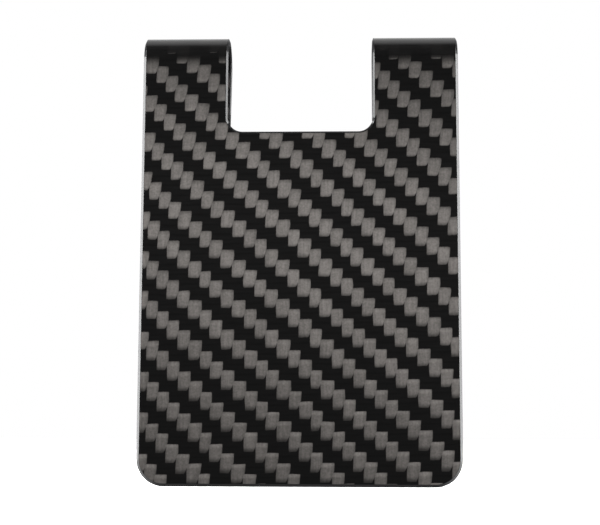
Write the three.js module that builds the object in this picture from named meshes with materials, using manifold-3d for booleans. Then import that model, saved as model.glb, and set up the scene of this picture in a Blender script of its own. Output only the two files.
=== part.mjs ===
// Money clip of moulded carbon fibre: one sheet, folded over at the top of its two arms, so that
// a springy tongue lies behind the front plate and presses notes and cards against it.
//
// Millimetres. X runs across the clip, Y from the front plate to the tongue, and Z up the clip.
// The origin is the bottom centre of the clip's box, straight below the middle of the loops.
//
// The sheet is a laminate of three layers: a twill ply on the outer face, a core of straight
// fibres, and a twill ply on the inner face. Each layer runs the whole length of the sheet. It is
// parted at the two lines across the arms where the clip bends when it is opened:
//   front   the front plate and the lower part of its arms, flat all over
//   loops   the two bent-over loops that are the spring
//   tongue  the rear arms and the plate that presses on the notes

import * as THREE from 'three';
import { mergeVertices } from 'three/addons/utils/BufferGeometryUtils.js';
import Module from 'manifold-3d';

// ---- Driving dimensions ----

const clipWidth = 53.5;
const clipHeight = 76.6;
const sheetThickness = 1.5;
const twillThickness = 0.3;
const bondLine = 0.02; // resin between two layers
const edgeBreak = 0.3; // how far the broken edge sets the face plies back from the core

const frontCornerRadius = 4.5;
const notchHalfWidth = 12.3;
const notchFloor = 59.3; // height of the notch's lower edge
const notchFillet = 2.5;

const loopRadius = 4.6; // to the outer face
const closingAngle = 12; // degrees, slope of the rear arms towards the front plate
const gripAngle = 1.5; // degrees, slope of the tongue's lower half
const flareAngle = 10; // degrees, slope of the tongue's lip away from the front plate
const kneeRadius = 30; // bend from the rear arms into the tongue
const lipRadius = 8; // bend into the lip
const gripGap = 0.35; // between the two plates where they are closest
const gripHeight = 19; // height of that closest line
const lipLength = 4.2; // from the closest line to the tongue's end
const tongueCornerRadius = 6;

const flexHeight = 68; // height of both lines where the arms bend
const flexSlit = 0.16; // clearance where the bodies meet

const loopStep = 8; // degrees for each facet of the loops
const softBendStep = 3; // degrees for each facet of the knee and the lip
const cornerFacets = 7; // facets round each corner of the outlines

// ---- Finishes ----

const twillLook = { color: 0x3a3938, roughness: 0.22, metalness: 0.15 };
const coreLook = { color: 0x1b1b1c, roughness: 0.45, metalness: 0.1 };

// ---- The sheet's centre line, seen from the side ----

const radians = THREE.MathUtils.degToRad;
const centreRadius = loopRadius - sheetThickness / 2;
const loopCentreHeight = clipHeight - loopRadius;
const frontCentre = -centreRadius; // y of the front plate's mid-plane

// The line is a list of stretches. Its heading is measured from +Z towards +Y, so it is 0 on the
// front plate, 90 degrees over the top of the loops and about 180 degrees on the tongue.
function heading(angle) {
  return new THREE.Vector2(Math.sin(angle), Math.cos(angle));
}

// The outer face lies to the left of the line.
function outward(angle) {
  return new THREE.Vector2(-Math.cos(angle), Math.sin(angle));
}

// Points and headings from the front plate's lower edge to the tongue's end.
function centreLine() {
  const closing = radians(closingAngle);
  const grip = radians(gripAngle);
  const flare = radians(flareAngle);

  // Corners of the tongue's centre line before its bends are rounded.
  const loopEnd = new THREE.Vector2(
    centreRadius * Math.cos(closing),
    loopCentreHeight - centreRadius * Math.sin(closing),
  );
  const gripPoint = new THREE.Vector2(frontCentre + sheetThickness + gripGap, gripHeight);
  const kneeHeight =
    (gripPoint.x - gripPoint.y * Math.tan(grip) - loopEnd.x + loopEnd.y * Math.tan(closing)) /
    (Math.tan(closing) - Math.tan(grip));
  const knee = new THREE.Vector2(
    loopEnd.x - (loopEnd.y - kneeHeight) * Math.tan(closing),
    kneeHeight,
  );

  const kneeTangent = kneeRadius * Math.tan((closing - grip) / 2);
  const lipTangent = lipRadius * Math.tan((grip + flare) / 2);
  return [
    { name: 'front', length: loopCentreHeight, turn: 0 },
    { name: 'loop', length: centreRadius * (Math.PI + closing), turn: Math.PI + closing },
    { name: 'rearArm', length: loopEnd.distanceTo(knee) - kneeTangent, turn: 0 },
    { name: 'knee', length: kneeRadius * (closing - grip), turn: grip - closing },
    { name: 'grip', length: knee.distanceTo(gripPoint) - kneeTangent - lipTangent, turn: 0 },
    { name: 'lipBend', length: lipRadius * (grip + flare), turn: -grip - flare },
    { name: 'lip', length: lipLength - lipTangent, turn: 0 },
  ];
}

// Stations along the line: each has its place along the line, its point and its heading.
function walkLine(stretches) {
  const stations = [{ along: 0, point: new THREE.Vector2(frontCentre, 0), angle: 0 }];
  for (const { name, length, turn } of stretches) {
    const step = radians(name === 'loop' ? loopStep : softBendStep);
    const count = Math.max(1, Math.ceil(Math.abs(turn) / step));
    for (let k = 0; k < count; k += 1) {
      const last = stations.at(-1);
      const angle = last.angle + turn / count;
      const chordAngle = (last.angle + angle) / 2;
      const half = turn / count / 2;
      const chord = (length / count) * (turn === 0 ? 1 : Math.sin(half) / half);
      const point = last.point.clone().addScaledVector(heading(chordAngle), chord);
      stations.push({ along: last.along + length / count, point, angle });
    }
  }
  return stations;
}

const stretches = centreLine();
const stations = walkLine(stretches);
const lineEnd = stations.at(-1).along;

// A point on a straight stretch of the line, between two stations.
function stationAt(along) {
  const next = stations.findIndex((station) => station.along >= along);
  const [before, after] = [stations[Math.max(0, next - 1)], stations[next]];
  const share = next === 0 ? 0 : (along - before.along) / (after.along - before.along);
  return { along, point: before.point.clone().lerp(after.point, share), angle: before.angle };
}

// Where the bodies part: across the front arms, and across the rear arms at the same height.
const rearArmStart = stretches[0].length + stretches[1].length;
const rearArmTop = loopCentreHeight - centreRadius * Math.sin(radians(closingAngle));
const frontFlex = flexHeight;
const rearFlex = rearArmStart + (rearArmTop - flexHeight) / Math.cos(radians(closingAngle));

// ---- Layers ----

const half = sheetThickness / 2;
const coreHalf = half - twillThickness;
const layers = [
  { name: 'outer_twill', inner: coreHalf + bondLine, outer: half, setBack: edgeBreak, look: twillLook },
  { name: 'core', inner: -coreHalf, outer: coreHalf, setBack: 0, look: coreLook },
  { name: 'inner_twill', inner: -half, outer: -coreHalf - bondLine, setBack: edgeBreak, look: twillLook },
];

// ---- Outlines, seen from the front ----

// A shape with rounded corners: each corner is [x, z, radius].
function roundedShape(corners) {
  const shape = new THREE.Shape();
  corners.forEach(([x, z, radius], index) => {
    const corner = new THREE.Vector2(x, z);
    const [px, pz] = corners.at(index - 1);
    const [nx, nz] = corners[(index + 1) % corners.length];
    const start = corner.clone().add(new THREE.Vector2(px - x, pz - z).setLength(radius));
    const end = corner.clone().add(new THREE.Vector2(nx - x, nz - z).setLength(radius));
    if (index === 0) {
      shape.moveTo(start.x, start.y);
    } else {
      shape.lineTo(start.x, start.y);
    }
    if (radius > 0) {
      roundCorner(shape, start, corner, end, radius);
    }
  });
  shape.closePath();
  return shape;
}

// A quarter circle from start to end, drawn as chords.
function roundCorner(shape, start, corner, end, radius) {
  const centre = start.clone().add(end).sub(corner);
  const from = start.clone().sub(centre);
  const to = end.clone().sub(centre);
  for (let k = 1; k <= cornerFacets; k += 1) {
    const angle = (Math.PI / 2) * (k / cornerFacets);
    const x = centre.x + from.x * Math.cos(angle) + to.x * Math.sin(angle);
    const z = centre.y + from.y * Math.cos(angle) + to.y * Math.sin(angle);
    shape.lineTo(x, z);
  }
}

// A plate with two arms: its outline from the lower left corner round to the upper left one.
function plateWithArms(bottom, top, cornerRadius, setBack) {
  const side = clipWidth / 2 - setBack;
  const notch = notchHalfWidth + setBack;
  const floor = notchFloor - setBack;
  const low = bottom + setBack;
  return roundedShape([
    [-side, low, cornerRadius - setBack],
    [side, low, cornerRadius - setBack],
    [side, top, 0],
    [notch, top, 0],
    [notch, floor, notchFillet + setBack],
    [-notch, floor, notchFillet + setBack],
    [-notch, top, 0],
    [-side, top, 0],
  ]);
}

// ---- Solids ----

// The side view of one layer between two places on the line.
function bandShape(from, to, layer) {
  const between = stations.filter(({ along }) => along > from && along < to);
  const run = [stationAt(from), ...between, stationAt(to)];
  const offset = (distance) => run.map(
    ({ point, angle }) => point.clone().addScaledVector(outward(angle), distance),
  );
  return new THREE.Shape([...offset(layer.inner), ...offset(layer.outer).reverse()]);
}

// Turns an extrusion of a side view (y, z) so that it runs along X.
const sideToWorld = new THREE.Matrix4().makeBasis(
  new THREE.Vector3(0, 1, 0),
  new THREE.Vector3(0, 0, 1),
  new THREE.Vector3(1, 0, 0),
);

function addMesh(group, name, geometry, look) {
  const mesh = new THREE.Mesh(geometry, new THREE.MeshStandardMaterial(look));
  mesh.name = name;
  group.add(mesh);
  return mesh;
}

// The flat front plate: its outline, as thick as the layer.
function addFrontLayer(group, layer) {
  const top = frontFlex - flexSlit / 2;
  const outline = plateWithArms(0, top, frontCornerRadius, layer.setBack);
  const depth = layer.outer - layer.inner;
  const geometry = new THREE.ExtrudeGeometry(outline, { depth, bevelEnabled: false });
  const mesh = addMesh(group, `front_${layer.name}`, geometry, layer.look);
  mesh.rotation.x = Math.PI / 2;
  mesh.position.y = frontCentre - layer.inner;
}

// One loop: the side view, as long as the arm is wide.
function addLoopLayer(group, side, layer) {
  const band = bandShape(frontFlex + flexSlit / 2, rearFlex - flexSlit / 2, layer);
  const inner = notchHalfWidth + layer.setBack;
  const depth = clipWidth / 2 - layer.setBack - inner;
  const geometry = new THREE.ExtrudeGeometry(band, { depth, bevelEnabled: false });
  geometry.applyMatrix4(sideToWorld);
  const mesh = addMesh(group, `${side}_loop_${layer.name}`, geometry, layer.look);
  mesh.position.x = side === 'right' ? inner : -inner - depth;
}

// The tongue: the side view, trimmed to its outline.
function addTongueLayer(group, layer) {
  const band = bandShape(rearFlex + flexSlit / 2, lineEnd, layer);
  const bandGeometry = new THREE.ExtrudeGeometry(band, { depth: clipWidth, bevelEnabled: false });
  bandGeometry.applyMatrix4(sideToWorld);
  bandGeometry.translate(-clipWidth / 2, 0, 0);

  const tongueBottom = stations.at(-1).point.y;
  const outline = plateWithArms(tongueBottom, clipHeight, tongueCornerRadius, layer.setBack);
  const reach = 4 * loopRadius;
  const trim = new THREE.ExtrudeGeometry(outline, { depth: reach, bevelEnabled: false });
  trim.rotateX(Math.PI / 2);
  trim.translate(0, reach / 2, 0);

  const trimmed = toSolid(bandGeometry).intersect(toSolid(trim));
  addMesh(group, `tongue_${layer.name}`, toGeometry(trimmed), layer.look);
}

// ---- Cutting ----

const wasm = await Module();
wasm.setup();

function toSolid(geometry) {
  const bare = geometry.clone();
  bare.deleteAttribute('normal');
  bare.deleteAttribute('uv');
  const merged = mergeVertices(bare, 1e-4);
  const vertProperties = new Float32Array(merged.attributes.position.array);
  const triVerts = new Uint32Array(merged.index.array);
  return new wasm.Manifold(new wasm.Mesh({ numProp: 3, vertProperties, triVerts }));
}

function toGeometry(solid) {
  const { vertProperties, triVerts } = solid.getMesh();
  const geometry = new THREE.BufferGeometry();
  geometry.setAttribute('position', new THREE.BufferAttribute(vertProperties, 3));
  geometry.setIndex(new THREE.BufferAttribute(triVerts, 1));
  geometry.computeVertexNormals();
  return geometry;
}

// ---- The clip ----

const clip = new THREE.Group();
for (const layer of layers) {
  addFrontLayer(clip, layer);
  addLoopLayer(clip, 'left', layer);
  addLoopLayer(clip, 'right', layer);
  addTongueLayer(clip, layer);
}

export default clip;
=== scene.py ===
"""Money clip of moulded carbon fibre: the finished sheet, its twill and its resin, round the CAD frame.

The clip is one laminate folded over at the top of its two arms. Each of its three layers is built here
as one smooth developed strip in two halves, which meet over the top of the loops: the front half bends
from the front plate into the loops, and the rear half from the loops into the tongue.

Metres, in the part's frame: X across the clip, Y from the front plate to the tongue, Z up the clip.
Places in the materials are in millimetres or in tows, as each one says.
"""

import math

import bpy
from mathutils import Matrix, Vector


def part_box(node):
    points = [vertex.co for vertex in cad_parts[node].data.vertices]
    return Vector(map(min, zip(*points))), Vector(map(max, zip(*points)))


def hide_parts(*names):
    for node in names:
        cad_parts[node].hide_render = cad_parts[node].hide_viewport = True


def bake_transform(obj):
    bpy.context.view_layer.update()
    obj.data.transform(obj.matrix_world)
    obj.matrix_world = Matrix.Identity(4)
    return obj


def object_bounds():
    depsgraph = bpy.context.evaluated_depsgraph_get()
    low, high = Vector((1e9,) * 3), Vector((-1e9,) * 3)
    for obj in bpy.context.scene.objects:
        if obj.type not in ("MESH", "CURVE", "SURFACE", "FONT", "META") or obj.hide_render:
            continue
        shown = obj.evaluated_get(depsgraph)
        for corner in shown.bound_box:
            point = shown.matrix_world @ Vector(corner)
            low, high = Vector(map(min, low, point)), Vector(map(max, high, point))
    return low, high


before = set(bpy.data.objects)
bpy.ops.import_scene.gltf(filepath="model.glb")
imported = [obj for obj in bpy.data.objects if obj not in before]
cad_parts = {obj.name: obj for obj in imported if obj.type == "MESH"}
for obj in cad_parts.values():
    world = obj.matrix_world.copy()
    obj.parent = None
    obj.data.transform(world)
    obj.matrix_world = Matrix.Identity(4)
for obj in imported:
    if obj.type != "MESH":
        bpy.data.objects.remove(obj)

MM = 0.001
HAIR = 0.001 * MM                              # places closer than this count as one
ROUNDING_ERROR = 1e-12                         # of a sum of lengths, in metres

# ---- Sizes from the frame ----

cad_low, cad_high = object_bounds()
core_low, core_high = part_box("front_core")
sheet_low, sheet_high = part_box("front_outer_twill")[0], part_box("front_inner_twill")[1]

CLIP_WIDTH = core_high.x - core_low.x
CLIP_HEIGHT = cad_high.z - cad_low.z
LOOP_RADIUS = -cad_low.y                       # to the outer face; its middle is over the origin
THICKNESS = sheet_high.y - sheet_low.y
HALF_SHEET = THICKNESS / 2
TWILL_PLY = core_low.y - sheet_low.y           # each face ply, with its share of the bond
NOTCH_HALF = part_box("right_loop_core")[0].x    # half the notch's width

# ---- Sizes of the outline and the folded sheet ----

FRONT_CORNER = 4.5 * MM
TONGUE_CORNER = 6.0 * MM
NOTCH_FLOOR = 59.3 * MM
NOTCH_FILLET = 2.5 * MM
CHAMFER = 0.45 * MM                            # broken edge all round, at 45 degrees
WALL_HALF = HALF_SHEET - CHAMFER               # half the flat wall between the chamfers
EDGE_ROUND = 0.10 * MM                         # radius between the chamfer and the face
NOTCH_CHAMFER = 0.75                           # share of its width the chamfer has round the notch
LOOP_CHAMFER = 0.5                             # share of its width the chamfer keeps over the loops

CLOSING = math.radians(12)                     # slope of the rear arms
GRIP_SLOPE = math.radians(1.5)                 # slope of the tongue's lower half
FLARE = math.radians(10)                       # slope of the tongue's lip
KNEE_RADIUS = 30 * MM
LIP_RADIUS = 8 * MM
GRIP_GAP = 0.35 * MM                           # between the front plate and the tongue, at its narrowest
GRIP_HEIGHT = 19 * MM                          # where that is
LIP_LENGTH = 4.2 * MM                          # from where the lip would start if its bend were sharp

LOOP_STEP = math.radians(2)                    # facets of the loops
SOFT_STEP = math.radians(0.75)                 # facets of the knee and the lip
PLATE_STEP = 4 * MM                            # rows of faces on the flat plates
ARM_STEP = 1.2 * MM                            # rows on the arms, which bend when the clip opens
CORNER_STEPS = 14                              # rows round a corner of the outline
QUARTER_TURN = [math.pi / 2 * k / CORNER_STEPS for k in range(CORNER_STEPS + 1)]  # angles of those rows
LEAST_ROW = 0.1 * MM                           # between one row of faces and the next

# ---- Weave coordinates ----

WARP_PITCH = 1.797 * MM                        # from one tow to the next across the clip
WEFT_PITCH = 1.678 * MM                        # and along it
WARP_PHASE = 27.70                             # tow over the middle of the clip
WEFT_PHASE = 47.44                             # tow at the front plate's lower edge
WARP_SKEW = -0.0067 / MM                       # tows the warp drifts over, along the clip
WEFT_SKEW = 0.0079 / MM                        # and the weft, across it
WARP_WANDER = 0.21                             # tows the warp sways by, along the clip
WARP_WANDER_LENGTH = 65.7 * MM
WARP_WANDER_CREST = 40.3 * MM


def tow_place(across, along):
    """Tow numbers (warp, weft) at a place on the laid-out sheet."""
    sway = WARP_WANDER * math.cos(2 * math.pi * (along - WARP_WANDER_CREST) / WARP_WANDER_LENGTH)
    warp = WARP_PHASE + across / WARP_PITCH + WARP_SKEW * along + sway
    weft = WEFT_PHASE - along / WEFT_PITCH + WEFT_SKEW * across
    return warp, weft


# ---- The folded centre line, seen from the side ----

CENTRE_RADIUS = LOOP_RADIUS - HALF_SHEET
LOOP_CENTRE = CLIP_HEIGHT - LOOP_RADIUS
FRONT_CENTRE = -CENTRE_RADIUS


def centre_line():
    """Stretches from the front plate's lower edge to the tongue's end, each (length, turn)."""
    loop_end = Vector((CENTRE_RADIUS * math.cos(CLOSING), LOOP_CENTRE - CENTRE_RADIUS * math.sin(CLOSING)))
    grip = Vector((FRONT_CENTRE + THICKNESS + GRIP_GAP, GRIP_HEIGHT))
    closing, slope = math.tan(CLOSING), math.tan(GRIP_SLOPE)
    knee_z = (grip.x - grip.y * slope - loop_end.x + loop_end.y * closing) / (closing - slope)
    knee = Vector((loop_end.x - (loop_end.y - knee_z) * closing, knee_z))
    knee_cut = KNEE_RADIUS * math.tan((CLOSING - GRIP_SLOPE) / 2)
    lip_cut = LIP_RADIUS * math.tan((GRIP_SLOPE + FLARE) / 2)
    return [
        (LOOP_CENTRE, 0.0),
        (CENTRE_RADIUS * (math.pi + CLOSING), math.pi + CLOSING),
        ((loop_end - knee).length - knee_cut, 0.0),
        (KNEE_RADIUS * (CLOSING - GRIP_SLOPE), GRIP_SLOPE - CLOSING),
        ((knee - grip).length - knee_cut - lip_cut, 0.0),
        (LIP_RADIUS * (GRIP_SLOPE + FLARE), -GRIP_SLOPE - FLARE),
        (LIP_LENGTH - lip_cut, 0.0),
    ]


def stretch_starts():
    """(place along, y, z, heading, length, turn) of each stretch; heading is from +Z towards +Y."""
    along, y, z, angle, found = 0.0, FRONT_CENTRE, 0.0, 0.0, []
    for length, turn in centre_line():
        found.append((along, y, z, angle, length, turn))
        y, z, angle = travel(y, z, angle, length, turn, length)
        along += length
    return found, along


def travel(y, z, angle, length, turn, distance):
    """The point and heading after a distance along one stretch."""
    if turn == 0.0:
        return y + distance * math.sin(angle), z + distance * math.cos(angle), angle
    bend = turn * distance / length
    radius = length / turn
    return (
        y + radius * (math.cos(angle) - math.cos(angle + bend)),
        z + radius * (math.sin(angle + bend) - math.sin(angle)),
        angle + bend,
    )


STRETCHES, LINE_END = stretch_starts()
APEX = LOOP_CENTRE + CENTRE_RADIUS * math.pi / 2
REAR_ARM_START = STRETCHES[2][0]


def on_line(along):
    """(y, z, heading) at a place along the centre line."""
    start, y, z, angle, length, turn = [s for s in STRETCHES if s[0] <= along + ROUNDING_ERROR][-1]
    return travel(y, z, angle, length, turn, along - start)


def along_rear_arm(height):
    """The place along the rear arm where the centre line is at that height."""
    return REAR_ARM_START + (STRETCHES[2][2] - height) / math.cos(CLOSING)


def chamfer_share(along):
    """Share of its full width that the broken edge has at a place along the line."""
    turned = min(max((along - LOOP_CENTRE) / CENTRE_RADIUS, 0.0), math.pi)
    return 1.0 - (1.0 - LOOP_CHAMFER) * math.sin(turned)


# ---- Developed strips ----

def bend_rows(first, last):
    """Places on the bends, between first and last, where a row of faces starts."""
    rows = []
    for along, _, _, _, length, turn in STRETCHES:
        if turn:
            step = LOOP_STEP if abs(turn) > math.pi / 2 else SOFT_STEP
            count = math.ceil(abs(turn) / step)
            rows += [along + length * k / count for k in range(count + 1)]
    return [row for row in rows if first < row < last]


def even_rows(first, last, step):
    """Rows from first to last, as near to step apart as divides the length evenly."""
    count = max(1, round(abs(last - first) / step))
    return [first + (last - first) * k / count for k in range(count + 1)]


def merged(rows):
    """Sorted rows with none closer than LEAST_ROW to the one before."""
    kept = []
    for row in sorted(rows):
        if not kept or row - kept[-1] > LEAST_ROW:
            kept.append(row)
    return kept


class Strip:
    """Half the sheet, laid flat: t runs from its free end to the top of the loops.

    Its grid has four columns: the outer edges and the notch's sides, which run on down the plate.
    floor is the notch's floor, and along_of turns t into the place along the centre line.
    """

    def __init__(self, corner, floor, length, rows, along_of):
        self.corner, self.floor, self.length = corner, floor, length
        self.rows, self.along_of = rows, along_of

    def outline_rows(self, inset):
        """Rows as (t, outer half width, notch half width), and the index of the row on the floor."""
        notch_inset = inset * NOTCH_CHAMFER
        corner, fillet = self.corner - inset, NOTCH_FILLET + notch_inset
        side, notch = CLIP_WIDTH / 2 - inset, NOTCH_HALF + notch_inset
        floor = self.floor - notch_inset
        found = []
        for turn in QUARTER_TURN:
            rise, run = corner * (1 - math.cos(turn)), corner * (1 - math.sin(turn))
            found.append((inset + rise, side - run, notch - fillet))
        plate_end = self.floor - CHAMFER
        plate_rows = [t for t in self.rows if self.corner + HAIR < t < plate_end - HAIR]
        found += [(t, side, notch - fillet) for t in plate_rows]
        floor_row = len(found)
        for turn in QUARTER_TURN:
            rise, run = fillet * (1 - math.cos(turn)), fillet * (1 - math.sin(turn))
            found.append((floor + rise, side, notch - run))
        for t in self.rows:
            if t > self.floor + NOTCH_FILLET + HAIR:
                widened = 1.0 - chamfer_share(self.along_of(t))
                found.append((t, side + inset * widened, notch - notch_inset * widened))
        return found, floor_row


# ---- Layers ----

def edge_profile(outer, inner):
    """(height above the centre, inset, normal's slope towards the face) down the sheet's edge.

    A chamfer at 45 degrees on each face, rounded where it meets the face and the wall. The shares of
    EDGE_ROUND place three points on each rounding, and the slopes are in degrees.
    """
    points = []
    for sign in (1, -1):
        run = [
            (HALF_SHEET, CHAMFER + EDGE_ROUND * 0.45, 76),
            (HALF_SHEET - EDGE_ROUND * 0.14, CHAMFER + EDGE_ROUND * 0.05, 58),
            (HALF_SHEET - EDGE_ROUND * 0.42, CHAMFER - EDGE_ROUND * 0.42, 45),
            (WALL_HALF + EDGE_ROUND * 0.42, EDGE_ROUND * 0.42, 45),
            (WALL_HALF + EDGE_ROUND * 0.05, EDGE_ROUND * 0.12, 24),
            (WALL_HALF - EDGE_ROUND * 0.45, 0.0, 0),
        ]
        run = [(sign * height, inset, sign * slope) for height, inset, slope in run]
        points += run if sign == 1 else run[::-1]
    return cut_profile(points, outer, inner)


def cut_profile(points, outer, inner):
    """The part of the profile between two heights, cut cleanly at both."""
    def at(height):
        for a, b in zip(points, points[1:]):
            if a[0] >= height >= b[0]:
                share = (a[0] - height) / (a[0] - b[0])
                return tuple(p + (q - p) * share for p, q in zip((height,) + a[1:], (height,) + b[1:]))
        raise ValueError("the profile does not reach that height")

    kept = [p for p in points if inner + HAIR < p[0] < outer - HAIR]
    return [at(outer), *kept, at(inner)]


class Layer:
    """A closed solid of one layer of one strip, with its weave coordinates and its exact normals.

    The corners of its faces are named (level, row, column): a level of the edge's profile, counted
    from the outer face to the inner one, and a row and a column of the strip's grid.
    """

    def __init__(self, strip, outer, inner):
        self.strip, self.profile = strip, edge_profile(outer, inner)
        outlines = [strip.outline_rows(inset) for _, inset, _ in self.profile]
        self.outlines = [rows for rows, _ in outlines]
        self.floor_row = outlines[0][1]
        self.row_count = len(self.outlines[0])
        self.last = len(self.profile) - 1
        self.rearwards = strip.along_of(strip.length) < strip.along_of(0.0)
        self.verts, self.flat, self.index = [], [], {}
        self.faces, self.normals, self.edge_flags = [], [], []
        self.add_faces()
        self.add_sides()
        self.add_notch()
        self.add_cut()

    def along(self, level, row):
        return self.strip.along_of(self.outlines[level][row][0])

    def directions(self, along):
        """Unit vectors out of the sheet's outer face, and along the sheet away from the free end."""
        angle = on_line(along)[2]
        outwards = Vector((0, -math.cos(angle), math.sin(angle)))
        onwards = Vector((0, math.sin(angle), math.cos(angle)))
        return outwards, -onwards if self.rearwards else onwards

    def vertex(self, level, row, column):
        key = (level, row, column)
        if key not in self.index:
            _, side, notch = self.outlines[level][row]
            across = (-side, -notch, notch, side)[column]
            height = self.profile[level][0]
            along = self.along(level, row)
            y, z, angle = on_line(along)
            self.verts.append((across, y - height * math.cos(angle), z + height * math.sin(angle)))
            self.flat.append((across, along, height))
            self.index[key] = len(self.verts) - 1
        return self.index[key]

    def add(self, corners, normals, edge_flag):
        numbers = [self.vertex(*corner) for corner in corners]
        if self.rearwards:
            numbers, normals = numbers[::-1], normals[::-1]
        self.faces.append(numbers)
        self.normals += normals
        self.edge_flags += [edge_flag] * len(corners)

    def add_faces(self):
        """The outer and the inner face, left open where the notch is."""
        for level, sign in ((0, 1), (self.last, -1)):
            for row in range(self.row_count - 1):
                columns = ((0, 1), (2, 3)) if row >= self.floor_row else ((0, 1), (1, 2), (2, 3))
                for a, b in columns:
                    quad = [(level, row, a), (level, row, b), (level, row + 1, b), (level, row + 1, a)]
                    quad = quad[::sign]
                    normals = [self.directions(self.along(*corner[:2]))[0] * sign for corner in quad]
                    self.add(quad, normals, 0.0)

    def edge_normal(self, level, row, outward):
        """The edge's normal at a level, where the outline's own one is outward, as (across, onwards)."""
        along = self.along(level, row)
        face, onwards = self.directions(along)
        slope = math.tan(math.radians(self.profile[level][2]))
        lean = math.atan(chamfer_share(along) * slope)
        flat_normal = Vector((1, 0, 0)) * outward[0] + onwards * outward[1]
        return (flat_normal * math.cos(lean) + face * math.sin(lean)).normalized()

    def add_edge(self, run, outwards):
        """The edge along a run of (row, column), with the outline's outward normals there."""
        places = list(zip(run, outwards))
        for ((row, column), out), ((next_row, next_column), next_out) in zip(places, places[1:]):
            for level in range(self.last):
                quad = [
                    (level, row, column),
                    (level + 1, row, column),
                    (level + 1, next_row, next_column),
                    (level, next_row, next_column),
                ]
                outs = (out, out, next_out, next_out)
                normals = [self.edge_normal(*corner[:2], normal) for corner, normal in zip(quad, outs)]
                self.add(quad, normals, 1.0)

    def add_sides(self):
        """The free end, from its left corner to the right one, and the sides up to the loops."""
        self.add_edge([(0, column) for column in range(4)], [(0, -1)] * 4)
        rows = range(self.row_count)
        right = [(math.sin(turn), -math.cos(turn)) for turn in QUARTER_TURN]
        right += [(1, 0)] * (len(rows) - len(QUARTER_TURN))
        left = [(-x, t) for x, t in right]
        self.add_edge([(row, 3) for row in rows], right)
        self.add_edge([(row, 0) for row in reversed(rows)], left[::-1])

    def add_notch(self):
        """The notch: down the right arm, across its floor and up the left arm."""
        rows = range(self.floor_row, self.row_count)
        right = [(-math.sin(turn), math.cos(turn)) for turn in QUARTER_TURN]
        right += [(-1, 0)] * (len(rows) - len(QUARTER_TURN))
        left = [(-x, t) for x, t in right]
        self.add_edge([(row, 2) for row in reversed(rows)], right[::-1])
        self.add_edge([(self.floor_row, 2), (self.floor_row, 1)], [(0, 1), (0, 1)])
        self.add_edge([(row, 1) for row in rows], left)

    def add_cut(self):
        """The cut over the top of the loops, where the other half of the sheet carries on."""
        end = self.row_count - 1
        onwards = self.directions(self.strip.along_of(self.strip.length))[1]
        for a, b in ((3, 2), (1, 0)):
            for level in range(self.last):
                quad = [(level, end, a), (level + 1, end, a), (level + 1, end, b), (level, end, b)]
                self.add(quad, [onwards] * 4, 1.0)

    def build(self, name):
        mesh = bpy.data.meshes.new(name)
        mesh.from_pydata(self.verts, [], self.faces)
        mesh.uv_layers.new(name="weave")
        mesh.attributes.new("edge", "FLOAT", "CORNER")
        mesh.attributes.new("depth", "FLOAT", "POINT")
        mesh.attributes.new("along", "FLOAT", "POINT")
        tows = [tow_place(across, along) for across, along, _ in self.flat]
        tow_pairs = [tows[loop.vertex_index] for loop in mesh.loops]
        mesh.uv_layers["weave"].data.foreach_set("uv", [number for pair in tow_pairs for number in pair])
        mesh.attributes["edge"].data.foreach_set("value", self.edge_flags)
        mesh.attributes["depth"].data.foreach_set("value", [height / MM for _, _, height in self.flat])
        mesh.attributes["along"].data.foreach_set("value", [along / MM for _, along, _ in self.flat])
        mesh.polygons.foreach_set("use_smooth", [True] * len(mesh.polygons))
        mesh.normals_split_custom_set([tuple(normal) for normal in self.normals])
        piece = bpy.data.objects.new(name, mesh)
        bpy.context.scene.collection.objects.link(piece)
        return piece


def front_strip():
    """The front half of the sheet, from the front plate's lower edge."""
    floor = NOTCH_FLOOR
    rows = even_rows(0, floor, PLATE_STEP) + even_rows(floor, LOOP_CENTRE, ARM_STEP)
    rows += bend_rows(floor, APEX) + [APEX]
    return Strip(FRONT_CORNER, floor, APEX, merged(rows), lambda t: t)


def rear_strip():
    """The rear half of the sheet, from the tongue's end."""
    floor = LINE_END - along_rear_arm(NOTCH_FLOOR)
    length = LINE_END - APEX
    rows = even_rows(0, floor, PLATE_STEP) + even_rows(floor, LINE_END - REAR_ARM_START, ARM_STEP)
    rows += [LINE_END - row for row in bend_rows(APEX, LINE_END)] + [length]
    return Strip(TONGUE_CORNER, floor, length, merged(rows), lambda t: LINE_END - t)


# ---- Node trees ----

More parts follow.
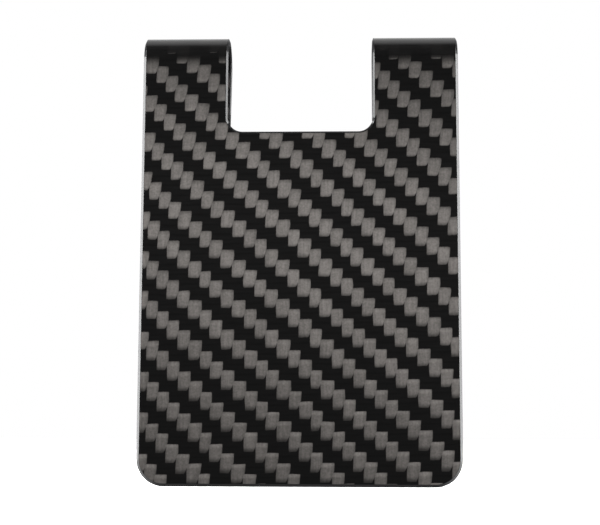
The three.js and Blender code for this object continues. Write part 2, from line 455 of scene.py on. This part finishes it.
class Graph:
    """Builds a node tree from small steps, each of which returns its output socket."""

    def __init__(self, holder):
        holder.use_nodes = True
        self.tree = holder.node_tree
        self.tree.nodes.clear()

    def node(self, kind, settings=None, **inputs):
        made = self.tree.nodes.new(kind)
        for key, value in (settings or {}).items():
            setattr(made, key, value)
        for key, value in inputs.items():
            self.feed(made.inputs[key.replace("_", " ")], value)
        return made

    def feed(self, socket, value):
        if isinstance(value, bpy.types.NodeSocket):
            self.tree.links.new(value, socket)
        else:
            socket.default_value = value

    def finish(self, kind, shader):
        """Join a shader's output to the tree's output node."""
        output = self.node(kind)
        self.feed(output.inputs[0], shader.outputs[0])

    def attribute(self, name):
        return self.node("ShaderNodeAttribute", {"attribute_name": name}).outputs["Fac"]

    def math(self, operation, *values, clamp=False):
        made = self.node("ShaderNodeMath", {"operation": operation, "use_clamp": clamp})
        for socket, value in zip(made.inputs, values):
            self.feed(socket, value)
        return made.outputs[0]

    def product(self, first, *others):
        for other in others:
            first = self.math("MULTIPLY", first, other)
        return first

    def total(self, first, *others):
        for other in others:
            first = self.math("ADD", first, other)
        return first

    def ramp(self, value, low, high, to_low=0.0, to_high=1.0):
        """From to_low to to_high while the value goes from low to high, with soft ends."""
        return self.map_range("SMOOTHSTEP", value, low, high, to_low, to_high)

    def straight_ramp(self, value, low, high, to_low, to_high):
        return self.map_range("LINEAR", value, low, high, to_low, to_high)

    def map_range(self, interpolation, *values):
        made = self.node("ShaderNodeMapRange", {"interpolation_type": interpolation})
        for socket, given in zip(made.inputs, values):
            self.feed(socket, given)
        return made.outputs[0]

    def mix(self, share, a, b):
        """Blend of two colours."""
        made = self.node("ShaderNodeMix", {"data_type": "RGBA", "clamp_factor": True})
        self.feed(made.inputs[0], share)
        self.feed(made.inputs[6], a)
        self.feed(made.inputs[7], b)
        return made.outputs[2]

    def blend(self, share, a, b):
        """Blend of two numbers."""
        made = self.node("ShaderNodeMix", {"data_type": "FLOAT", "clamp_factor": True})
        self.feed(made.inputs[0], share)
        self.feed(made.inputs[2], a)
        self.feed(made.inputs[3], b)
        return made.outputs[0]

    def shaded(self, colour, tone):
        made = self.node("ShaderNodeVectorMath", {"operation": "SCALE"}, Scale=tone)
        made.inputs[0].default_value = colour
        return made.outputs[0]

    def noise(self, x, y, z, scale, detail):
        place = self.node("ShaderNodeCombineXYZ", X=x, Y=y, Z=z).outputs[0]
        return self.noise_at(place, scale, detail)

    def noise_at(self, place, scale, detail):
        made = self.node("ShaderNodeTexNoise", Vector=place, Scale=scale, Detail=detail)
        return made.outputs[0]

    def chance(self, x, y):
        """A steady random number from 0 to 1 for a whole-number place."""
        place = self.node("ShaderNodeCombineXYZ", X=x, Y=y, Z=0.5).outputs[0]
        return self.node("ShaderNodeTexWhiteNoise", {"noise_dimensions": "3D"}, Vector=place).outputs[0]


# ---- Twill ----

# The warp's grey is a painted sheen: under the resin both tows are near black, and the warp floats look
# grey only where they mirror the lamps beside the clip.
WARP_SHEEN_COLOUR = (0.154, 0.143, 0.135)
WEFT_COLOUR = (0.0040, 0.0038, 0.0038)
WARP_ROUGHNESS = 0.50
WEFT_ROUGHNESS = 0.42

# Outline of one warp float, in tows from its middle. Its right side leans, and its lower right corner,
# where the next float dives under, is cut away.
FLOAT_EVERY = 4.0                              # tows from one float to the next along a column
FLOAT_LEFT = 0.61
FLOAT_RIGHT = 0.57
FLOAT_LEAN = 0.04
FLOAT_TOP = 0.91
FLOAT_TOP_LOW = 0.86                           # low on the clip
FLOAT_BOTTOM = 0.92
FLOAT_BOTTOM_LOW = 1.04                        # low on the clip, where its lower end, faded by painted shade, is longer
FLOAT_CUT = 0.65
FLOAT_CUT_SLOPE = 0.415
FLOAT_ROUNDING = 0.27
FLOAT_ROUNDING_LOW = 0.17                      # low on the clip, where its corners are squarer
FLOAT_UNEVEN = 0.12                            # how much widths and lengths differ from float to float
FLOAT_EDGE = 0.07                              # from bare to covered, across a float's edge
REACH_DROPS = 45.0, 76.0                       # mm below the top, from the high length to the low one
ROUNDING_DROPS = 35.0, 65.0                    # and from the high rounding to the low one

COLUMN_WANDER = 0.084                          # tows the warp sways by, across the clip
COLUMN_WANDER_TOWS = 20.1
COLUMN_WANDER_CREST = 17.6
TOW_WOBBLE = 0.22                              # tows that the tows wobble by
WOBBLE_SCALE = 0.45                            # wobbles to a tow
WARP_WOBBLE_SLICE = 3.1                        # different slices of the noise, so that the two wobble apart
WEFT_WOBBLE_SLICE = 8.7

# Tones multiply a tow's colour.
NOISE_SPREAD = 0.3, 0.7                        # where most of a noise's values lie
FLOAT_TONES = 0.92, 1.07                       # from the darkest float to the brightest
STREAK_TONES = 0.87, 1.13                      # of the strands in a warp tow
WEFT_STREAK_TONES = 0.75, 1.30                 # and in a weft tow
STREAKS_ACROSS = 5.5                           # streaks to a tow's width
STREAKS_ALONG = 0.55                           # and to the same length along it
MOTTLE_TONES = 0.85, 1.15
MOTTLE_SCALE = 5.0
MOTTLE_SLICE = 5.3
SIDE_FADE = 0.20, 0.60, 1.0, 0.78              # tows from a float's middle, and tones there: painted shade on its rounded sides
WEFT_SIDE_FADE = 0.36, 0.50, 1.0, 0.55

# Painted light and shade along one float. Places are in tows from its middle, and drops in mm below the
# top.
UPPER_END = -0.98, -0.45                       # where its upper end brightens
UPPER_END_TONES = 0.55, 0.95                   # what it brightens from, high and low on the clip
RIM_RISE = -0.95, -0.75
RIM_FALL = -0.62, -0.35
RIM_LIGHT = 0.50                               # added at the rim of the upper end, low on the clip
UPPER_DROPS = 38.0, 78.0                       # from the high look of the upper end to the low one
LIP_RISE = 0.35, 0.60
LIP_FALL = 0.68, 0.95
LIP_TONE = 1.16                                # of the painted bright lip on its lower end, high on the clip
LIP_END_TONE = 0.45
LOWER_FADE = 0.45, 1.02                        # where its lower end fades into painted shade, low on the clip
LOWER_END_TONE = 0.25
LOWER_DROPS = 12.0, 45.0                       # from the high look of the lower end to the low one

# Painted shade round the loops: how much of its painted sheen the warp keeps, and where that changes, in mm
# along the sheet.
FOLD_SHINE = 0.02                              # share of its painted sheen the warp keeps below the loops, the rest painted shade
TOP_SHINE = 0.30                               # and over the top of them
FLOAT_DIP = 1.4                                # how much further round its lower end keeps its sheen, as a thin painted glint
FRONT_FOLD = -1.6, 0.5                         # before and after the front plate meets the loops
REAR_FOLD = -1.0, 2.5                          # before and after the loops meet the rear arms
TOP_START = 0.6                                # share of the loops' radius, along from where they start

# Relief: each crown is a cosine, of this many radians to a tow.
CROWN_ACROSS = 2.6
CROWN_ALONG = 1.3
WEFT_CROWN = 0.6                               # height of a weft tow's crown beside a warp float's
STREAK_RELIEF = 0.05


def warp_float(g, i, j, shift, top_reach, bottom_reach, rounding):
    """(depth inside the nearest warp float of this column, across, along, column)."""
    column = g.math("ADD", g.math("FLOOR", g.math("ADD", i, 0.5)), shift)
    across = g.math("SUBTRACT", i, column)
    phase = g.math("ADD", g.math("SUBTRACT", j, column), FLOAT_EVERY / 2)
    along = g.math("SUBTRACT", g.math("FLOORED_MODULO", phase, FLOAT_EVERY), FLOAT_EVERY / 2)
    here = g.math("MULTIPLY", g.math("SUBTRACT", g.chance(column, 0.0), 0.5), FLOAT_UNEVEN)
    beside = g.chance(g.math("SUBTRACT", column, 1.0), 0.0)
    beside = g.math("MULTIPLY", g.math("SUBTRACT", beside, 0.5), FLOAT_UNEVEN)
    middle = g.math("ROUND", g.math("SUBTRACT", j, along))
    length = g.math("SUBTRACT", g.chance(column, middle), 0.5)
    left = g.math("ADD", g.math("SUBTRACT", across, beside), FLOAT_LEFT)
    leaning = g.math("MULTIPLY_ADD", along, FLOAT_LEAN, across)
    right = g.math("SUBTRACT", g.math("ADD", here, FLOAT_RIGHT), leaning)
    top = g.math("MULTIPLY_ADD", length, FLOAT_UNEVEN, g.math("ADD", along, top_reach))
    bottom = g.math("MULTIPLY_ADD", length, FLOAT_UNEVEN, g.math("SUBTRACT", bottom_reach, along))
    cut = g.math("SUBTRACT", FLOAT_CUT, g.math("MULTIPLY_ADD", along, FLOAT_CUT_SLOPE, across))
    cut = g.math("ADD", cut, here)
    depth = left
    for side in (right, top, bottom, cut):
        depth = g.math("SMOOTH_MIN", depth, side, rounding)
    return depth, across, along, column


def nearest_float(g, i, j, below_top):
    """warp_float's answer for whichever of three columns has the place deepest inside a float."""
    shape = (
        g.ramp(below_top, *REACH_DROPS, FLOAT_TOP, FLOAT_TOP_LOW),
        g.ramp(below_top, *REACH_DROPS, FLOAT_BOTTOM, FLOAT_BOTTOM_LOW),
        g.ramp(below_top, *ROUNDING_DROPS, FLOAT_ROUNDING, FLOAT_ROUNDING_LOW),
    )
    depth, across, along, column = warp_float(g, i, j, 0.0, *shape)
    for shift in (-1.0, 1.0):
        other, other_across, other_along, other_column = warp_float(g, i, j, shift, *shape)
        nearer = g.math("GREATER_THAN", other, depth)
        across = g.blend(nearer, across, other_across)
        along = g.blend(nearer, along, other_along)
        column = g.blend(nearer, column, other_column)
        depth = g.math("MAXIMUM", depth, other)
    return depth, across, along, column


def twill(g, i, j):
    """Colour, roughness and height of 2x2 twill at a place counted in tows; the warp's grey is a painted
    sheen.
    """
    crest_off = g.math("SUBTRACT", i, COLUMN_WANDER_CREST)
    swing = g.math("MULTIPLY", crest_off, 2 * math.pi / COLUMN_WANDER_TOWS)
    warp_wobble = g.noise(i, j, WARP_WOBBLE_SLICE, scale=WOBBLE_SCALE, detail=1.0)
    weft_wobble = g.noise(i, j, WEFT_WOBBLE_SLICE, scale=WOBBLE_SCALE, detail=1.0)
    i = g.math("MULTIPLY_ADD", g.math("COSINE", swing), COLUMN_WANDER, i)
    i = g.math("MULTIPLY_ADD", g.math("SUBTRACT", warp_wobble, 0.5), TOW_WOBBLE, i)
    j = g.math("MULTIPLY_ADD", g.math("SUBTRACT", weft_wobble, 0.5), TOW_WOBBLE, j)

    below_top = g.math("SUBTRACT", APEX / MM, g.attribute("along"))
    depth, across, along, column = nearest_float(g, i, j, below_top)
    covered = g.ramp(depth, -FLOAT_EDGE / 2, FLOAT_EDGE)

    middle = g.math("ROUND", g.math("SUBTRACT", j, along))
    streaks = g.noise(
        g.math("MULTIPLY", i, STREAKS_ACROSS),
        g.math("MULTIPLY", j, STREAKS_ALONG),
        column,
        scale=1.0,
        detail=2.0,
    )
    mottle = g.noise(
        g.math("MULTIPLY", i, MOTTLE_SCALE),
        g.math("MULTIPLY", j, MOTTLE_SCALE),
        MOTTLE_SLICE,
        scale=1.0,
        detail=1.0,
    )
    warp_sheen_tone = g.product(
        g.straight_ramp(g.chance(column, g.math("ADD", middle, 0.5)), 0.0, 1.0, *FLOAT_TONES),
        crown_light_and_shade(g, along, below_top),
        g.straight_ramp(streaks, *NOISE_SPREAD, *STREAK_TONES),
        g.straight_ramp(mottle, *NOISE_SPREAD, *MOTTLE_TONES),
        g.ramp(g.math("ABSOLUTE", across), *SIDE_FADE),
    )

    row = g.math("FLOOR", g.math("ADD", j, 0.5))
    weft_across = g.math("ABSOLUTE", g.math("SUBTRACT", j, row))
    weft_streaks = g.noise(
        g.math("MULTIPLY", i, STREAKS_ALONG),
        g.math("MULTIPLY", j, STREAKS_ACROSS),
        row,
        scale=1.0,
        detail=2.0,
    )
    weft_tone = g.product(
        g.straight_ramp(weft_streaks, *NOISE_SPREAD, *WEFT_STREAK_TONES),
        g.ramp(weft_across, *WEFT_SIDE_FADE),
    )
    # Painted sheen of the warp floats, over the weft's own near black.
    shown = g.math("MULTIPLY", covered, warp_sheen_share(g, along))
    colour = g.mix(shown, g.shaded(WEFT_COLOUR, weft_tone), g.shaded(WARP_SHEEN_COLOUR, warp_sheen_tone))
    roughness = g.blend(covered, WEFT_ROUGHNESS, WARP_ROUGHNESS)

    crown = g.product(
        g.math("COSINE", g.math("MULTIPLY", across, CROWN_ACROSS)),
        g.math("COSINE", g.math("MULTIPLY", along, CROWN_ALONG)),
    )
    weft_crown = g.math("COSINE", g.math("MULTIPLY", weft_across, CROWN_ACROSS))
    height = g.blend(covered, g.math("MULTIPLY", weft_crown, WEFT_CROWN), crown)
    height = g.math("MULTIPLY_ADD", streaks, STREAK_RELIEF, height)
    return colour, roughness, height


def crown_light_and_shade(g, along, below_top):
    """Painted light and shade over the crown of one float, from its upper end to its lower end.

    High on the clip its lower end has a painted highlight, a bright lip; low on the clip that end fades
    into painted shade and its upper end is the bright one.
    """
    drop = g.math("ABSOLUTE", below_top)
    down = g.math("MULTIPLY", along, g.math("SIGN", below_top))
    upper_end = g.ramp(down, *UPPER_END, g.ramp(drop, *UPPER_DROPS, *UPPER_END_TONES), 1.0)
    rim = g.product(
        g.ramp(down, *RIM_RISE),
        g.ramp(down, *RIM_FALL, 1.0, 0.0),
        g.straight_ramp(drop, *UPPER_DROPS, 0.0, RIM_LIGHT),
    )
    high = g.product(g.ramp(down, *LIP_RISE, 1.0, LIP_TONE), g.ramp(down, *LIP_FALL, 1.0, LIP_END_TONE))
    low = g.ramp(down, *LOWER_FADE, 1.0, LOWER_END_TONE)
    lower_end = g.blend(g.ramp(drop, *LOWER_DROPS), high, low)
    return g.product(upper_end, lower_end, g.math("ADD", rim, 1.0))


def warp_sheen_share(g, along_float):
    """Share of its painted sheen the warp keeps: full on the flat sheet, painted shade in the folds and
    some over the top.

    The lower end of each float dips, so its sheen reaches a little further round, as a thin painted glint.
    """
    dip = g.ramp(along_float, *LIP_FALL, 0.0, FLOAT_DIP)
    along = g.attribute("along")
    loop_start, arm_start = LOOP_CENTRE / MM, REAR_ARM_START / MM
    front_fold = [loop_start + place for place in FRONT_FOLD]
    rear_fold = [arm_start + place for place in REAR_FOLD]
    top_start = loop_start + TOP_START * CENTRE_RADIUS / MM
    front = g.ramp(g.math("SUBTRACT", along, dip), *front_fold, 1.0, FOLD_SHINE)
    top = g.ramp(along, top_start, APEX / MM, 0.0, TOP_SHINE - FOLD_SHINE)
    rear = g.ramp(g.math("ADD", along, dip), *rear_fold, 0.0, 1.0 - TOP_SHINE)
    return g.math("ADD", g.math("ADD", front, top), rear, clamp=True)


# ---- Milled edge ----

EDGE_COLOUR = (0.008, 0.008, 0.0086)
EDGE_COAT = 0.20                               # gloss left on the broken edge
WALL_COAT = 0.02                               # and on the sawn wall between
LOOP_EDGE_COAT = 0.08                          # and on the broken edge round the loops
LOOP_EDGE = -1.5, 0.5                          # where that changes, in mm from where the loops end
EDGE_ROUGHNESS = 0.34
WALL_ROUGHNESS = 0.55
CHAMFER_START = -0.02, 0.05                    # from wall to chamfer, in mm from where they meet
GRAIN_SCALE = 900.0
GRAIN_TONES = 0.75, 1.30
PLY_LINES = 0.30                               # mm from one line of the plies to the next
PLY_TONES = 0.55, 1.55
PLY_WAVE = 0.16                                # mm that the lines wave by
PLY_WAVE_SCALE = 160.0


def milled_edge(g):
    """Colour, height, coat and roughness of the milled edge: fine wavy lines of the plies."""
    depth = g.attribute("depth")
    place = g.node("ShaderNodeTexCoord").outputs["Object"]
    grain = g.noise_at(place, scale=GRAIN_SCALE, detail=3.0)
    wave = g.math("SUBTRACT", g.noise_at(place, scale=PLY_WAVE_SCALE, detail=2.0), 0.5)
    wavy = g.math("MULTIPLY_ADD", wave, PLY_WAVE, depth)
    lines = g.math("SINE", g.math("MULTIPLY", wavy, 2 * math.pi / PLY_LINES))
    tone = g.product(
        g.straight_ramp(lines, -1.0, 1.0, *PLY_TONES),
        g.straight_ramp(grain, *NOISE_SPREAD, *GRAIN_TONES),
    )
    from_top = g.math("ABSOLUTE", g.math("SUBTRACT", g.attribute("along"), APEX / MM))
    loop_end = (APEX - LOOP_CENTRE) / MM
    loop_edge = [loop_end + place for place in LOOP_EDGE]
    gloss = g.ramp(from_top, *loop_edge, LOOP_EDGE_COAT, EDGE_COAT)
    chamfer_start = [WALL_HALF / MM + place for place in CHAMFER_START]
    on_chamfer = g.ramp(g.math("ABSOLUTE", depth), *chamfer_start)
    coat = g.blend(on_chamfer, WALL_COAT, gloss)
    roughness = g.blend(on_chamfer, WALL_ROUGHNESS, EDGE_ROUGHNESS)
    return g.shaded(EDGE_COLOUR, tone), grain, coat, roughness


# ---- Laminate ----

GLOSS_ROUGHNESS = 0.04                         # of the clear resin outside
SATIN_ROUGHNESS = 0.25                         # and inside, where it is thinner
SATIN_COAT = 0.60
LINING_ROUGHNESS = 0.90                        # of the edge on the inner side, which is left sawn
RELIEF_STRENGTH = 0.35
RELIEF_HEIGHT = 0.06 * MM                      # of a float's crown
EDGE_RELIEF = 0.03                             # height of the edge's grain beside a float's crown
RESIN_IOR = 1.5
FIBRE_SPECULAR = 0.05                          # under the resin the fibres hardly mirror


def laminate(name, with_twill, satin=False):
    """Twill under clear resin, with a milled edge; satin for the inner side, and no twill for the core."""
    material = bpy.data.materials.new(name)
    g = Graph(material)
    colour, grain, coat, roughness = milled_edge(g)
    height = g.math("MULTIPLY", grain, EDGE_RELIEF)
    if satin:
        coat, roughness = 0.0, LINING_ROUGHNESS
    if with_twill:
        weave = g.node("ShaderNodeUVMap", {"uv_map": "weave"}).outputs[0]
        parts = g.node("ShaderNodeSeparateXYZ", Vector=weave)
        face_colour, face_roughness, face_height = twill(g, parts.outputs[0], parts.outputs[1])
        on_edge = g.attribute("edge")
        colour = g.mix(on_edge, face_colour, colour)
        roughness = g.blend(on_edge, face_roughness, roughness)
        coat = g.blend(on_edge, SATIN_COAT if satin else 1.0, coat)
        height = g.blend(on_edge, face_height, height)
    bump = g.node("ShaderNodeBump", Strength=RELIEF_STRENGTH, Distance=RELIEF_HEIGHT, Height=height)
    shader = g.node("ShaderNodeBsdfPrincipled", Base_Color=colour, Roughness=roughness, Coat_Weight=coat)
    g.feed(shader.inputs["Normal"], bump.outputs[0])
    shader.inputs["IOR"].default_value = RESIN_IOR
    shader.inputs["Specular IOR Level"].default_value = FIBRE_SPECULAR
    shader.inputs["Coat Roughness"].default_value = SATIN_ROUGHNESS if satin else GLOSS_ROUGHNESS
    shader.inputs["Coat IOR"].default_value = RESIN_IOR
    g.finish("ShaderNodeOutputMaterial", shader)
    return material


# ---- The clip ----


def dress(piece, material, nodes):
    """Give a piece its material and slot, and hide the CAD nodes it stands for."""
    piece.data.materials.append(material)
    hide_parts(*nodes)


def build_clip():
    face = laminate("twill_in_clear_resin", with_twill=True)
    lining = laminate("twill_in_satin_resin", with_twill=True, satin=True)
    core = laminate("core_laminate", with_twill=False)
    core_half = HALF_SHEET - TWILL_PLY
    layers = (
        ("outer_twill", HALF_SHEET, core_half, face),
        ("core", core_half, -core_half, core),
        ("inner_twill", -core_half, -HALF_SHEET, lining),
    )
    front, rear = front_strip(), rear_strip()
    for slot, outer, inner, material in layers:
        piece = Layer(front, outer, inner).build(f"front_half_{slot}")
        loops = [f"{side}_loop_{slot}" for side in ("left", "right")]
        dress(piece, material, [f"front_{slot}", *loops])
        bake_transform(piece)

        piece = Layer(rear, outer, inner).build(f"rear_half_{slot}")
        dress(piece, material, [f"tongue_{slot}"])
        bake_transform(piece)


# ---- Floor ----

FLOOR_SIZE = 6.0
FLOOR_GLOW = 0.9
FLOOR_COLOURS = (0.90, 0.90, 0.90, 1), (0.93, 0.93, 0.93, 1)
FLOOR_ROUGHNESS = 0.9
FLOOR_GRAIN = 40.0


def pale_material():
    material = bpy.data.materials.new("pale_floor")
    g = Graph(material)
    place = g.node("ShaderNodeTexCoord").outputs["Object"]
    colour = g.mix(g.noise_at(place, scale=FLOOR_GRAIN, detail=2.0), *FLOOR_COLOURS)
    shader = g.node("ShaderNodeBsdfPrincipled", Base_Color=colour, Roughness=FLOOR_ROUGHNESS)
    shader.inputs["Specular IOR Level"].default_value = 0.0
    shader.inputs["Emission Color"].default_value = (1, 1, 1, 1)
    shader.inputs["Emission Strength"].default_value = FLOOR_GLOW
    g.finish("ShaderNodeOutputMaterial", shader)
    return material


def build_floor():
    """A pale floor that only the camera sees; build_world has the glow that the clip mirrors."""
    mesh = bpy.data.meshes.new("floor")
    half = FLOOR_SIZE / 2
    corners = [(-half, -half, 0), (half, -half, 0), (half, half, 0), (-half, half, 0)]
    mesh.from_pydata(corners, [], [(0, 1, 2, 3)])
    floor = bpy.data.objects.new("floor", mesh)
    bpy.context.scene.collection.objects.link(floor)
    mesh.materials.append(pale_material())
    floor.visible_glossy = False
    floor.visible_diffuse = False


# ---- Light ----

SOFTBOX_PLACE = Vector((0.50, 0.02, 0.22))     # of the right one; the left one mirrors it
SOFTBOX_WIDTH = 0.18
SOFTBOX_HEIGHT = 0.50
SOFTBOX_POWER = 8.0
SPOT_PLACE = Vector((0.60, 0.65, 0.45))        # of the back right one; the other three mirror it
SPOT_ANGLE = math.radians(24)
SPOT_BLEND = 0.3
SPOT_RADIUS = 0.015
FRONT_SPOT_POWER = 35.0
BACK_SPOT_POWER = 32.0
GRADE_CREST = 45 * MM                          # height on the clip where the spots are brightest
GRADE_LEAN = 0.20                              # fall of the bright band towards the lamp's right
GRADE_BELOW = -45.0, 3.0, 0.36, 1.0            # mm above the crest, and levels there
GRADE_ABOVE = 0.0, 27.0, 1.0, 0.27

# The world's parts, each as a range of the ray's direction (a unit vector) and the levels there.
ROOM_LEVEL = 0.14
PATCH_LEVEL = 1.0                              # of the bright patch above and behind the clip
PATCH_BACK = -0.27, 0.12
PATCH_UP = 0.05, 0.25
PATCH_SIDE = 0.6, 0.3
UNDER_GLOW = -0.6, -0.9, 0.0, 0.5              # of the table under the clip
TABLE_GLOW = -1.0, 0.0, 1.0, 26.0              # and beside it, fading from the softboxes down
TABLE_SIDE = 0.22, 0.12
TABLE_UP = -0.03, -0.09


def hang(name, light, place, aim):
    lamp = bpy.data.objects.new(name, light)
    bpy.context.scene.collection.objects.link(lamp)
    lamp.location = place
    lamp.rotation_euler = (aim - place).to_track_quat("-Z", "Y").to_euler()
    return lamp


def softbox(name, place):
    """A tall soft lamp beside the clip, which faces it level."""
    light = bpy.data.lights.new(name, "AREA")
    light.shape = "RECTANGLE"
    light.size, light.size_y = SOFTBOX_WIDTH, SOFTBOX_HEIGHT
    light.energy = SOFTBOX_POWER
    hang(name, light, place, Vector((0, place.y, place.z)))


def graded_spot(name, place, power):
    """A spot aimed at the clip, brightest at GRADE_CREST and softer above and below it."""
    light = bpy.data.lights.new(name, "SPOT")
    light.spot_size, light.spot_blend = SPOT_ANGLE, SPOT_BLEND
    light.shadow_soft_size = SPOT_RADIUS
    light.energy = power
    aim = Vector((0, 0, GRADE_CREST))
    reach = (place - aim).length
    tilt = math.asin((place.z - GRADE_CREST) / reach)
    g = Graph(light)
    beam = g.node("ShaderNodeSeparateXYZ", Vector=g.node("ShaderNodeTexCoord").outputs["Normal"])
    slope = g.math("MULTIPLY_ADD", beam.outputs[0], GRADE_LEAN, beam.outputs[1])
    slope = g.math("DIVIDE", slope, g.math("ABSOLUTE", beam.outputs[2]))
    height = g.math("MULTIPLY", slope, reach / math.cos(tilt) / MM)
    level = g.product(g.ramp(height, *GRADE_BELOW), g.ramp(height, *GRADE_ABOVE))
    g.finish("ShaderNodeOutputLight", g.node("ShaderNodeEmission", Strength=level))
    hang(name, light, place, aim).visible_glossy = False


def build_light():
    for side, x in (("left", -1), ("right", 1)):
        softbox(f"{side}_softbox", SOFTBOX_PLACE * Vector((x, 1, 1)))
        graded_spot(f"front_{side}_spot", SPOT_PLACE * Vector((x, -1, 1)), FRONT_SPOT_POWER)
        graded_spot(f"back_{side}_spot", SPOT_PLACE * Vector((x, 1, 1)), BACK_SPOT_POWER)
    build_world()


def build_world():
    """Plain white to the camera. All other rays meet a dim room with a bright patch above and behind
    the clip, and the glow of a pale table beside and under it."""
    world = bpy.data.worlds.new("studio")
    bpy.context.scene.world = world
    g = Graph(world)
    direction = g.node("ShaderNodeSeparateXYZ", Vector=g.node("ShaderNodeTexCoord").outputs["Generated"])
    x, y, z = direction.outputs
    patch = g.product(
        g.ramp(y, *PATCH_BACK), g.ramp(z, *PATCH_UP), g.ramp(g.math("ABSOLUTE", x), *PATCH_SIDE)
    )
    table = g.product(
        g.ramp(g.math("ABSOLUTE", y), *TABLE_SIDE), g.ramp(z, *TABLE_UP), g.straight_ramp(z, *TABLE_GLOW)
    )
    room = g.straight_ramp(patch, 0.0, 1.0, ROOM_LEVEL, PATCH_LEVEL)
    lit = g.node("ShaderNodeBackground", Strength=g.total(room, g.ramp(z, *UNDER_GLOW), table))
    seen = g.node("ShaderNodeBackground", Color=(1, 1, 1, 1))
    choose = g.node("ShaderNodeMixShader")
    g.feed(choose.inputs[0], g.node("ShaderNodeLightPath").outputs["Is Camera Ray"])
    g.feed(choose.inputs[1], lit.outputs[0])
    g.feed(choose.inputs[2], seen.outputs[0])
    g.finish("ShaderNodeOutputWorld", choose)


# ---- Camera ----

CAMERA_PLACE = Vector((6.9, -219.0, 8.2)) * MM
CAMERA_YAW = math.radians(1.825)
CAMERA_PITCH = math.radians(7.615)
CAMERA_ROLL = math.radians(-0.19)
SENSOR_WIDTH = 36.0
LENS_PER_WIDTH = 1300 / 600                    # focal length over the picture's width
NEAR_AND_FAR = 0.01, 20.0


def build_camera():
    data = bpy.data.cameras.new("camera")
    data.sensor_width = SENSOR_WIDTH
    data.lens = SENSOR_WIDTH * LENS_PER_WIDTH
    data.clip_start, data.clip_end = NEAR_AND_FAR
    camera = bpy.data.objects.new("camera", data)
    bpy.context.scene.collection.objects.link(camera)
    level = Matrix.Rotation(math.pi / 2, 3, "X")
    turn = Matrix.Rotation(CAMERA_YAW, 3, "Z") @ Matrix.Rotation(CAMERA_PITCH, 3, "X")
    roll = Matrix.Rotation(CAMERA_ROLL, 3, "Y")
    camera.matrix_world = Matrix.Translation(CAMERA_PLACE) @ (turn @ roll @ level).to_4x4()
    bpy.context.scene.camera = camera
    bpy.context.scene.view_settings.view_transform = "Standard"


build_clip()
build_floor()
build_light()
build_camera()
